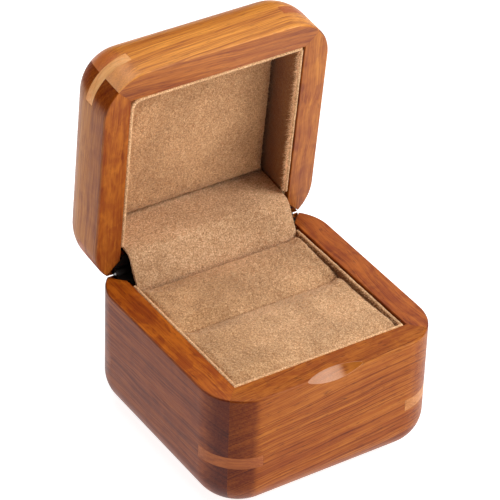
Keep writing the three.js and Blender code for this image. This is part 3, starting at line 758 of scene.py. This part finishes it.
def pile(o, name, count, seen, seed, mat, lo=0.35, hi=0.8):
    """Hairs lying over o's surface where seen(points, normals) is true, brushed mostly one way."""
    g = np.random.RandomState(seed)
    me = o.data
    me.calc_loop_triangles()
    tri = np.zeros(len(me.loop_triangles) * 3, int)
    me.loop_triangles.foreach_get("vertices", tri)
    p = coords(o)[tri.reshape(-1, 3)]
    n = np.cross(p[:, 1] - p[:, 0], p[:, 2] - p[:, 0])
    area2 = np.linalg.norm(n, axis=1)
    n /= np.maximum(area2, 1e-12)[:, None]
    w = area2 * seen(p.mean(1), n)
    k = g.choice(len(w), count // (1), p=w / w.sum())
    a, b = g.rand(len(k), 1), g.rand(len(k), 1)
    a, b = np.where(a + b > 1, 1 - a, a), np.where(a + b > 1, 1 - b, b)
    roots = p[k, 0] + (p[k, 1] - p[k, 0]) * a + (p[k, 2] - p[k, 0]) * b
    aims = n[k] * g.uniform(0.30, 0.75, (len(k), 1)) + np.array([0.55, -0.35, 0.0]) + g.normal(size=(len(k), 3)) * 0.55
    aims += n[k] * np.maximum(0.25 - (aims * n[k]).sum(1, keepdims=True), 0)
    return fibres(name, roots, aims, g.uniform(lo, hi, len(k)), radius=0.030, seed=seed + 1, mat=mat)


def edge_fuzz(name, p0, p1, wide, lean, count, lo, hi, seed, turn=None):
    """Hairs along the straight edge p0 to p1, scattered over wide (a vector), leaning to lean."""
    g = np.random.RandomState(seed)
    p0, p1, wide, lean = (np.array(x, float) for x in (p0, p1, wide, lean))
    roots = p0 + (p1 - p0) * g.rand(count, 1) + wide * (g.rand(count, 1) - 0.5)
    aims = lean + g.normal(size=(count, 3)) * 0.45
    if turn:
        # the last part of the strip follows a quarter bend (centre x, y, radius) from p0 on
        k = int(count * 0.12)
        a = np.radians(180 + 90 * g.rand(k))
        r = turn[2] - abs(wide[1]) * g.rand(k)
        roots[:k, 0], roots[:k, 1] = turn[0] + r * np.cos(a), turn[1] + r * np.sin(a)
        aims[:k] = np.c_[-np.cos(a), -np.sin(a), 0 * a + 0.1] * 0.9 + g.normal(size=(k, 3)) * 0.45
    if name.startswith("lid"):
        aims[:, 2] = np.maximum(aims[:, 2], -0.08)  # clear of the base when the lid is shut
    return fibres(name, roots, aims, g.uniform(lo, hi, count) * g.uniform(0.5, 1.0, count), seed=seed + 1)


SUEDE_FUZZ = suede("suede_fuzz", seed=6, tone=(1.42, 1.46, 1.54), brush=0.05)
SUEDE_PILE = suede("suede_pile", seed=8, tone=(1.14, 1.13, 1.14), brush=0.05, left_shade=PAD_LEFT_SHADE)
PILE_LID = suede("suede_pile_lid", seed=9, tone=(1.0, 0.95, 0.92), brush=0.05)


# ring pads
TOP_F = np.array([(-22.2, 31.25), (-21.0, 31.45), (-19.0, 31.5), (-14, 31.3), (-9, 31.05), (-4, 30.9), (-0.6, 30.75), (1.0, 30.55), (2.2, 30.2), (3.2, 29.8)])
TOP_R = np.array([(1.4, 29.7), (2.4, 30.15), (3.4, 30.5), (5.4, 30.7), (8, 30.85), (11, 31.0), (14, 31.2), (18, 31.5), (20.4, 31.4)])


def ring_pad(name, y0, y1, top, seed):
    low = 8.6
    xs = spaced(-22.1, 22.1, 0.86)
    # at the slit the skin is made too long and pressed back, so that the two pads meet with square ends
    ys = spaced(y0 + 0.15, y1 + 0.6, 0.8) if y0 < 0 else spaced(y0 - 0.6, y1 - 0.15, 0.8)
    zs = np.array([0, 0.3, 0.55, 0.72, 0.84, 0.92, 1.0])
    v, f = lattice(xs, ys, zs)
    t = np.interp(v[:, 1], top[:, 0], top[:, 1]) - 0.55
    # the skin is pulled down a little toward the two side edges
    t = t + 0.55 * np.clip((np.abs(v[:, 0]) - 18.5) / 2.5, 0, 1) ** 2
    v[:, 2] = low + v[:, 2] * (t - low)
    o = make(name, v, f, 60)
    held = (v[:, 2] < low + 6)
    print("pad", name, inflate(o, held, pressure=1.0, cap=0.5))
    subdivide(o, 2)
    p = coords(o)
    # the liners, the other pad and the lid's reach hold it in
    p[:, 0] = np.sign(p[:, 0]) * smin(np.abs(p[:, 0]), np.full(len(p), 22.0), 0.5)
    p[:, 1] = smin(p[:, 1], np.full(len(p), y1), 0.4)
    p[:, 1] = -smin(-p[:, 1], np.full(len(p), -y0), 0.4)
    p[:, 2] = smin(p[:, 2], np.full(len(p), 31.7), 0.5)
    set_coords(o, p)
    nap(o, seed=seed, mask=lambda q: (q[:, 2] > 20).astype(float))
    # the skin is open underneath, where it is turned in over the board
    bm = bmesh.new()
    bm.from_mesh(o.data)
    bmesh.ops.delete(bm, geom=[q for q in bm.faces if q.calc_center_median().z < (low + 0.2) * MM], context="FACES")
    bm.to_mesh(o.data)
    bm.free()
    m = o.modifiers.new("skin", "SOLIDIFY")
    m.thickness, m.offset = 0.5 * MM, -1
    baked(o)
    shade(o, 80)
    return o


def core(pad, name, y0, y1, top):
    """The foam inside a pad, a millimetre under its skin."""
    v, f = lattice(spaced(-20.4, 20.4, 1.7), spaced(y0 + 1.2, y1 - 1.2, 1.7), np.array([0, 0.5, 0.9, 1.0]))
    t = np.interp(v[:, 1], top[:, 0], top[:, 1]) - 1.9
    t = t - 0.8 * np.clip((np.abs(v[:, 0]) - 18.5) / 2.0, 0, 1) ** 2
    v[:, 2] = 9.0 + v[:, 2] * (t - 9.0)
    o = make(name, v, f, 60)
    nap(o, amp=0.05, scale=1.0, slow=0.05, seed=4)
    return o


pad_f = ring_pad("ring_pad_front_suede", -21.95, 2.26, TOP_F, 1)
pad_r = ring_pad("ring_pad_rear_suede", 2.43, 20.15, TOP_R, 2)
for o, k in ((pad_f, 51), (pad_r, 53)):
    hairs = pile(o, o.name.replace("suede", "pile"), 4200, lambda p, n: (n[:, 2] > 0.35) & (p[:, 2] > 27), k, SUEDE_PILE)
    rides(hairs, "base", "suede", mat=SUEDE_PILE)
rides(pad_f, "base", "suede", "ring_pad_front_cover", mat=SUEDE)
rides(pad_r, "base", "suede", "ring_pad_rear_cover", mat=SUEDE)
for o, node, y0, y1, top in ((pad_f, "ring_pad_front", -21.95, 2.26, TOP_F), (pad_r, "ring_pad_rear", 2.43, 20.15, TOP_R)):
    rides(core(o, node + "_core", y0, y1, top), "base", "foam", node + "_foam", mat=FOAM)


# lid pad
def lid_pad():
    z0, z1 = 41.5, 43.3
    xs, ys = spaced(-21.5, 21.5, 0.86), spaced(-21.5, 19.2, 0.86)
    v, f = lattice(xs, ys, np.array([z0, z0 + 0.7, z0 + 1.3, z1]))
    o = make("lid_pad_suede", v, f, 60)
    print("lid pad", inflate(o, v[:, 2] > z0 + 1.0, pressure=1.2, cap=0.45))
    subdivide(o, 2)
    p = coords(o)
    p[:, 0] = np.sign(p[:, 0]) * smin(np.abs(p[:, 0]), np.full(len(p), 21.9), 0.4)
    p[:, 1] = smin(p[:, 1], np.full(len(p), 19.6), 0.4)
    p[:, 1] = -smin(-p[:, 1], np.full(len(p), 21.9), 0.4)
    p[:, 2] = -smin(-p[:, 2], np.full(len(p), -41.05), 0.3)
    set_coords(o, p)
    nap(o, seed=3, slow=0.03)
    shade(o, 80)
    return o


lp = lid_pad()
hairs = pile(lp, "lid_pad_pile", 7000, lambda p, n: n[:, 2] < -0.5, 55, PILE_LID)
rides(hairs, "lid", "suede", mat=PILE_LID)
rides(lp, "lid", "suede", "lid_pad_cover", "lid_pad_wadding", mat=SUEDE_LID)


# ---------------------------------------------------------------- liners: suede on card
def liner(name, path, z_low, z_edge, thick=LINER_T, seed=0.0, step=0.33):
    """A strip that stands on edge along path (x, y), its outer face on the path and its body to the path's left.
    z_edge is the seen edge, rounded over; z_low the buried one."""
    path = np.array(path, float)
    seg = np.r_[0, np.cumsum(np.linalg.norm(np.diff(path, axis=0), axis=1))]
    s = spaced(0, seg[-1], step)
    c = np.c_[np.interp(s, seg, path[:, 0]), np.interp(s, seg, path[:, 1])]
    d = np.gradient(c, axis=0)
    d /= np.linalg.norm(d, axis=1, keepdims=True)
    n = np.c_[-d[:, 1], d[:, 0]]
    sg = 1 if z_edge > z_low else -1
    H = abs(z_edge - z_low)
    r = thick / 2
    prof = [(0, 0), (0, H * 0.5), (0, H - 6), (0, H - 4)] + [(0, H - 4 + (4 - r) * k / 8) for k in range(1, 9)]
    prof += [(r - r * math.cos(a), H - r + r * math.sin(a)) for a in np.linspace(0, math.pi, 9)[1:-1]]
    deep = min(H, 13.0)
    prof += [(thick, H - r - (deep - r) * k / 30) for k in range(0, 31)]
    prof += [(thick, 0)] if deep < H - 0.5 else []
    if deep >= H - 0.5:
        prof[-1] = (thick, 0)
    # drop repeated points
    clean = [prof[0]]
    for q in prof[1:]:
        if math.hypot(q[0] - clean[-1][0], q[1] - clean[-1][1]) > 1e-4:
            clean.append(q)
    prof = clean
    m = len(prof)
    verts = [(c[i, 0] + n[i, 0] * a, c[i, 1] + n[i, 1] * a, z_low + sg * b) for i in range(len(c)) for a, b in prof]
    faces = []
    for i in range(len(c) - 1):
        for k in range(m):
            q = (i * m + k, i * m + (k + 1) % m, (i + 1) * m + (k + 1) % m, (i + 1) * m + k)
            faces.append(q if sg < 0 else q[::-1])
    a, b = tuple(range(m)), tuple(range((len(c) - 1) * m, len(c) * m))
    faces += [a[::-1], b] if sg < 0 else [a, b[::-1]]
    o = make(name, verts, faces, 60)
    bm = bmesh.new()
    bm.from_mesh(o.data)
    bmesh.ops.recalc_face_normals(bm, faces=bm.faces)
    bm.to_mesh(o.data)
    bm.free()
    nap(o, amp=0.045, slow=0.03, seed=seed)
    shade(o, 80)
    return o


def bend(cx, cy, r, a0, a1, n=8):
    return [(cx + r * math.cos(math.radians(a)), cy + r * math.sin(math.radians(a))) for a in np.linspace(a0, a1, n)]


LQ = 23.12
# base: each strip runs with the box's inside on its left
base_front = liner("base_liner_front_suede", [(-LQ + 0.02, -LQ), (LQ - 0.6, -LQ)], 6.7, 32.0, seed=5)
base_left = liner("base_liner_left_suede", [(-LQ, 20.9), (-LQ, -LQ + 0.95)], 6.7, 32.0, seed=6)
base_right = liner("base_liner_right_suede", [(LQ - 0.25, -LQ + 0.95), (LQ - 0.25, 20.9)], 6.7, 31.85, seed=7)
lid_front = liner("lid_liner_front_suede", bend(-LQ + 2.9, -LQ + 2.9, 2.9, 180, 270) + [(LQ - 0.55, -LQ)], 44.4, 32.4, seed=8)
lid_left = liner("lid_liner_left_suede", [(-LQ, 19.6), (-LQ, -LQ + 3.0)], 44.4, 32.4, seed=9)
lid_right = liner("lid_liner_right_suede", [(LQ - 0.04, -LQ + 0.95), (LQ - 0.04, 19.6)], 44.4, 32.5, seed=10)
FUZZ = (
    ("lid_liner_right_fuzz", "lid", (LQ - 0.66, -LQ + 1.2, 32.85), (LQ - 0.66, 19.2, 32.85), (0.6, 0, 0.5), (-0.95, 0, 0.0), 1700, 0.9, 2.3, 21),
    ("lid_liner_front_fuzz", "lid", (-LQ + 2.9, -LQ + 0.5, 32.66), (LQ - 0.9, -LQ + 0.5, 32.66), (0, 0.8, 0.3), (0, 0.9, 0.1), 900, 0.3, 0.8, 22, (-LQ + 2.9, -LQ + 2.9, 2.8)),
    ("lid_liner_left_fuzz", "lid", (-LQ + 0.5, -LQ + 2.9, 32.66), (-LQ + 0.5, 19.2, 32.66), (0.8, 0, 0.3), (0.9, 0, 0.1), 900, 0.25, 0.7, 23),
    ("base_liner_right_fuzz", "base", (LQ - 0.75, -LQ + 1.2, 31.5), (LQ - 0.75, 19.8, 31.5), (0.6, 0, 0.3), (-0.7, 0, 0.1), 1000, 0.4, 1.1, 24),
    ("base_liner_front_fuzz", "base", (-LQ + 1.0, -LQ + 0.5, 31.7), (LQ - 1.2, -LQ + 0.5, 31.7), (0, 0.8, 0.3), (0, 0.8, 0.1), 900, 0.25, 0.55, 25),
    ("base_liner_left_fuzz", "base", (-LQ + 0.5, -LQ + 1.0, 31.7), (-LQ + 0.5, 20.2, 31.7), (0.8, 0, 0.3), (0.8, 0, 0.1), 900, 0.25, 0.55, 26),
)
HEM = {}
for row in FUZZ:
    o = HEM[row[0].replace("_fuzz", "")] = edge_fuzz(row[0], *row[2:])
    rides(o, row[1], "suede", mat=SUEDE_FUZZ)

for o, body, node in ((base_front, "base", "base_liner_front"), (base_left, "base", "base_liner_left"), (base_right, "base", "base_liner_right"),
                      (lid_front, "lid", "lid_liner_front"), (lid_left, "lid", "lid_liner_left"), (lid_right, "lid", "lid_liner_right")):
    rides(o, body, "suede", node, mat={"lid_liner_right": SHADE_LID, "base_liner_right": SHADE_BASE}.get(node, SUEDE_LINER))


# ---------------------------------------------------------------- hinge cover
def catmull(pts, step):
    p = np.array(pts, float)
    p = np.vstack([2 * p[0] - p[1], p, 2 * p[-1] - p[-2]])
    out = []
    for i in range(1, len(p) - 2):
        a, b, c, d = p[i - 1:i + 3]
        for t in np.linspace(0, 1, 40, endpoint=False):
            out.append(0.5 * ((2 * b) + (-a + c) * t + (2 * a - 5 * b + 4 * c - d) * t ** 2 + (-a + 3 * b - 3 * c + d) * t ** 3))
    out.append(p[-2])
    out = np.array(out)
    s = np.r_[0, np.cumsum(np.linalg.norm(np.diff(out, axis=0), axis=1))]
    q = spaced(0, s[-1], step)
    return np.c_[np.interp(q, s, out[:, 0]), np.interp(q, s, out[:, 1])], s[-1]


def hinge_cover():
    line, length = catmull([(20.5, 16.8), (20.5, 24), (20.5, 29.6), (20.75, 31.4), (21.95, 33.7), (23.1, 35.8), (24.15, 37.6),
                            (25.2, 38.5), (26.8, 38.95), (29.0, 39.3), (33.0, 39.85), (38.1, 40.35)], 0.36)
    d = np.gradient(line, axis=0)
    d /= np.linalg.norm(d, axis=1, keepdims=True)
    n = np.c_[-d[:, 1], d[:, 0]]  # toward the seen side
    xs = spaced(-22.0, 22.0, 0.36)
    verts, faces = [], []
    m = len(xs)
    for i, (c, k) in enumerate(zip(line, n)):
        for x in xs:
            # the cloth is crowned a little between its edges
            crown = 0.28 * (1 - (x / 22.0) ** 2) * math.exp(-((i / len(line) - 0.52) / 0.22) ** 2)
            verts.append((x, c[0] + k[0] * crown, c[1] + k[1] * crown))
    for i in range(len(line) - 1):
        for j in range(m - 1):
            faces.append((i * m + j, i * m + j + 1, (i + 1) * m + j + 1, (i + 1) * m + j))
    o = make("hinge_cover_suede", verts, faces, None)
    p, nn = coords(o), normals(o)
    # the seen side faces -Y and up
    if nn[len(nn) // 2] @ np.array([0, -0.5, 0.5]) < 0:
        o.data.flip_normals()
    nap(o, amp=0.05, slow=0.12, seed=11)
    s = o.modifiers.new("skin", "SOLIDIFY")
    s.thickness, s.offset = 0.8 * MM, -1
    baked(o)
    shade(o, 70)
    return o, length


cover, cover_len = hinge_cover()
cover.data.materials.append(SUEDE_FLAP)
hairs = pile(cover, "hinge_cover_pile", 4800, lambda p, n: (n @ np.array([0, -0.7, 0.7]) > 0.2) & (p[:, 2] > 30), 57, SUEDE_PILE)
for o in (cover, hairs):
    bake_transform(o)
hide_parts("hinge_cover")


# ---------------------------------------------------------------- hinge metal, cards, foam
def steel(name, col, rough, metal=1.0):
    t = Tree(name)
    P = t.mm()
    n = t.noise(P, 0.8, 4.0, 0.6)
    g = t.noise(t.vmath("MULTIPLY", P, (0.25, 7.0, 7.0)), 1.0, 3.0, 0.6)
    t.put(t.bsdf.inputs["Base Color"], t.mix(n, tuple(c * 0.6 for c in col), tuple(c * 1.5 for c in col)))
    t.bsdf.inputs["Metallic"].default_value = metal
    t.put(t.bsdf.inputs["Roughness"], t.step(g, 0.3, 0.7, rough - 0.08, rough + 0.10))
    t.put(t.bsdf.inputs["Normal"], t.bump(g, 0.25, 0.00002))
    return t.mat


BLACK = steel("steel_black", (0.016, 0.012, 0.010), 0.55, 0.5)
SPRING = steel("steel_spring", (0.30, 0.30, 0.30), 0.30)


for n, o in NODES.items():
    mat = None
    if n.startswith("hinge_leaf") or n.startswith("hinge_screw"):
        mat = BLACK
        b = o.modifiers.new("edge", "BEVEL")
        b.width, b.segments, b.limit_method, b.angle_limit = 0.05 * MM, 2, "ANGLE", math.radians(50)
    elif n == "hinge_pin":
        mat = SPRING
    elif n.endswith("board"):
        mat = CARD
    elif n.endswith("foam") or n.endswith("wadding"):
        mat = FOAM
    if mat is not None:
        o.data.materials.clear()
        o.data.materials.append(mat)
        shade(o, 40)


def snap_spring():
    half = [(22.0, 20.5), (22.0, 26.0), (22.12, 29.0), (22.65, 31.3), (23.4, 33.2)]
    c, s = math.cos(OPEN), -math.sin(OPEN)
    across = [(AY + (y - AY) * c - (AZ - z) * s, AZ + (y - AY) * s + (AZ - z) * c) for y, z in half]
    line, _ = catmull(half + across[::-1], 0.5)
    d = np.gradient(line, axis=0)
    d /= np.linalg.norm(d, axis=1, keepdims=True)
    n = np.c_[-d[:, 1], d[:, 0]]
    th, w, e = 0.32, 5.0, 0.08
    prof = [(-w + e, 0), (w - e, 0), (w, e), (w, th - e), (w - e, th), (-w + e, th), (-w, th - e), (-w, e)]
    verts = [(x, a[0] + k[0] * h, a[1] + k[1] * h) for a, k in zip(line, n) for x, h in prof]
    m = len(prof)
    faces = [(i * m + k, i * m + (k + 1) % m, (i + 1) * m + (k + 1) % m, (i + 1) * m + k) for i in range(len(line) - 1) for k in range(m)]
    faces += [tuple(range(m))[::-1], tuple(range((len(line) - 1) * m, len(line) * m))]
    o = make("snap_spring_strip", verts, faces, 40)
    bm = bmesh.new()
    bm.from_mesh(o.data)
    bmesh.ops.recalc_face_normals(bm, faces=bm.faces)
    bm.to_mesh(o.data)
    bm.free()
    o.data.materials.append(SPRING)
    return o


sp = snap_spring()
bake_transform(sp)
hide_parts("snap_spring")

# ---------------------------------------------------------------- stage, light, camera
GLOW = 0.86
WORLD = 0.06
floor = make("floor", [(-3000, -3000, -0.02), (3000, -3000, -0.02), (3000, 3000, -0.02), (-3000, 3000, -0.02)], [(0, 1, 2, 3)], None)
t = Tree("floor_white")
t.put(t.bsdf.inputs["Base Color"], t.mix(t.noise(t.mm(), 0.01, 2.0), (0.56, 0.56, 0.56), (0.60, 0.60, 0.60)))
t.bsdf.inputs["Roughness"].default_value = 0.9
t.bsdf.inputs["Specular IOR Level"].default_value = 0.1
fs = t.vmath("LENGTH", t.vmath("MULTIPLY", t.mm(), (1, 1, 0)))
t.put(t.bsdf.inputs["Emission Color"], (1, 1, 1))
t.put(t.bsdf.inputs["Emission Strength"], t.step(fs, 500, 2400, GLOW, 0.5))
floor.data.materials.append(t.mat)

world = bpy.data.worlds.new("studio")
bpy.context.scene.world = world
world.use_nodes = True
world.node_tree.nodes["Background"].inputs[0].default_value = (1.0, 0.99, 0.98, 1)
world.node_tree.nodes["Background"].inputs[1].default_value = WORLD


def area(name, loc, target, size, power, col=(1, 1, 1)):
    l = bpy.data.lights.new(name, "AREA")
    l.shape, l.size, l.energy, l.color = "SQUARE", size, power, col
    o = bpy.data.objects.new(name, l)
    bpy.context.scene.collection.objects.link(o)
    o.location = loc
    o.rotation_mode = "QUATERNION"
    o.rotation_quaternion = (Vector(target) - Vector(loc)).to_track_quat("-Z", "Y")
    return o


for row in (
    ("key", (0.42, -0.36, 0.50), 0.34, 4.0),
    ("top", (0.06, 0.20, 0.75), 0.70, 3.0),
    ("right_back", (0.55, 0.35, 0.35), 0.40, 0.45),
    ("left_back", (-0.50, 0.40, 0.40), 0.40, 0.9),
    ("front_right", (0.15, -0.65, 0.25), 0.30, 0.6),
):
    area(row[0], row[1], (0, 0, 0.04), row[2], row[3])

# the camera, from the calibrated view of the object
C = Vector((-0.313023, -0.459137, 0.442313))
el, ro, az = 0.6187, 0.0372, -0.5910
back = Vector((math.sin(az) * math.cos(el), -math.cos(az) * math.cos(el), math.sin(el)))
right = Vector((math.cos(az), math.sin(az), 0))
up = back.cross(right)
r2 = right * math.cos(ro) + up * math.sin(ro)
u2 = -right * math.sin(ro) + up * math.cos(ro)
cam_data = bpy.data.cameras.new("camera")
cam = bpy.data.objects.new("camera", cam_data)
bpy.context.scene.collection.objects.link(cam)
cam.matrix_world = Matrix(((r2.x, u2.x, back.x, C.x), (r2.y, u2.y, back.y, C.y), (r2.z, u2.z, back.z, C.z), (0, 0, 0, 1)))
cam_data.sensor_width = 36
cam_data.lens = 215.925
cam_data.clip_start, cam_data.clip_end = 0.01, 20
bpy.context.scene.camera = cam
bpy.context.scene.view_settings.view_transform = "Standard"
